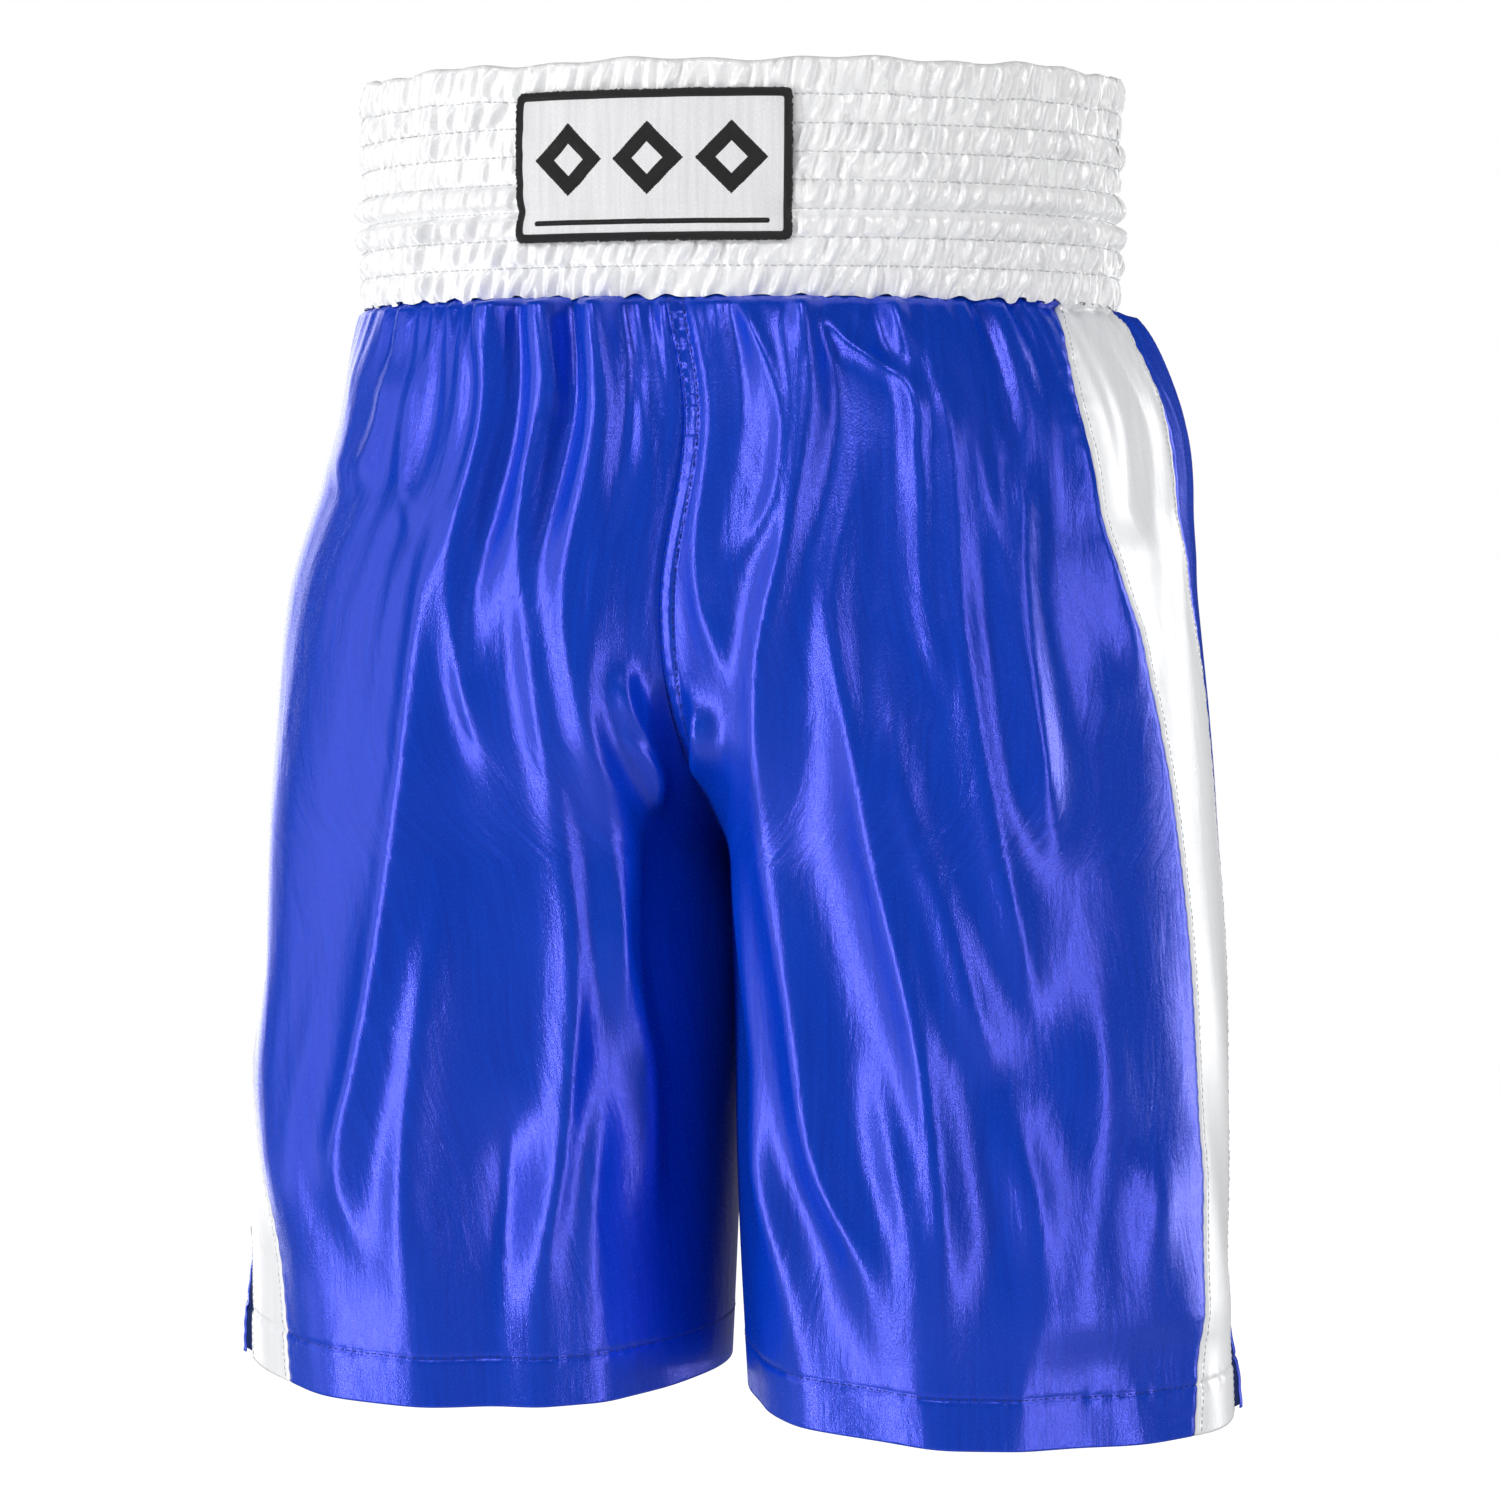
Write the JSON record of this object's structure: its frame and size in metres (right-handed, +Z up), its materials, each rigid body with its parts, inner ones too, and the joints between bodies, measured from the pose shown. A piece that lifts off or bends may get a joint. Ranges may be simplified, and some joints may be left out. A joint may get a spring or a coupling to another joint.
{
  "type": "boxing shorts",
  "caption": "Loose satin boxing shorts with a tall shirred elastic waistband, contrast side stripes, turned hems and a vent at the foot of each stripe.",
  "frame": {"origin": "centre of the waist opening, in the plane of the waistband's top edge", "axes": "+Z up, the wearer faces -Y, +X is the wearer's left"},
  "size_m": [0.452, 0.2608, 0.615],
  "materials": {
    "white_satin": "glossy white satin, shirred in the waistband and smooth in the stripes",
    "blue_satin": "glossy royal blue satin with a violet sheen",
    "elastic_webbing": "ribbed white braided elastic",
    "white_thread": "white polyester sewing thread",
    "blue_thread": "royal blue polyester sewing thread",
    "label_weave": "light grey-white woven label cloth",
    "black_embroidery": "black rayon embroidery thread with a low sheen",
    "navy_facing": "dull navy lining cloth"
  },
  "bodies": {
    "root": {"waistband_casing": "white_satin", "waistband_elastic_1": "elastic_webbing", "waistband_elastic_2": "elastic_webbing", "waistband_elastic_3": "elastic_webbing", "waistband_elastic_4": "elastic_webbing", "waistband_stitching": "white_thread", "label_field": "label_weave", "label_border": "black_embroidery", "label_motif": "black_embroidery", "front_panel_left": "blue_satin", "front_panel_right": "blue_satin", "back_panel_left": "blue_satin", "back_panel_right": "blue_satin", "side_stripe_left": "white_satin", "side_stripe_right": "white_satin", "vent_facing_left": "navy_facing", "vent_facing_right": "navy_facing", "vent_tack_left": "white_thread", "vent_tack_right": "white_thread", "centre_front_stitching": "blue_thread", "centre_back_stitching": "blue_thread", "stripe_stitching_left": "white_thread", "stripe_stitching_right": "white_thread", "vent_stitching_left": "white_thread", "vent_stitching_right": "white_thread", "hem_stitching_left": "blue_thread", "hem_stitching_right": "blue_thread"}
  },
  "joints": []
}
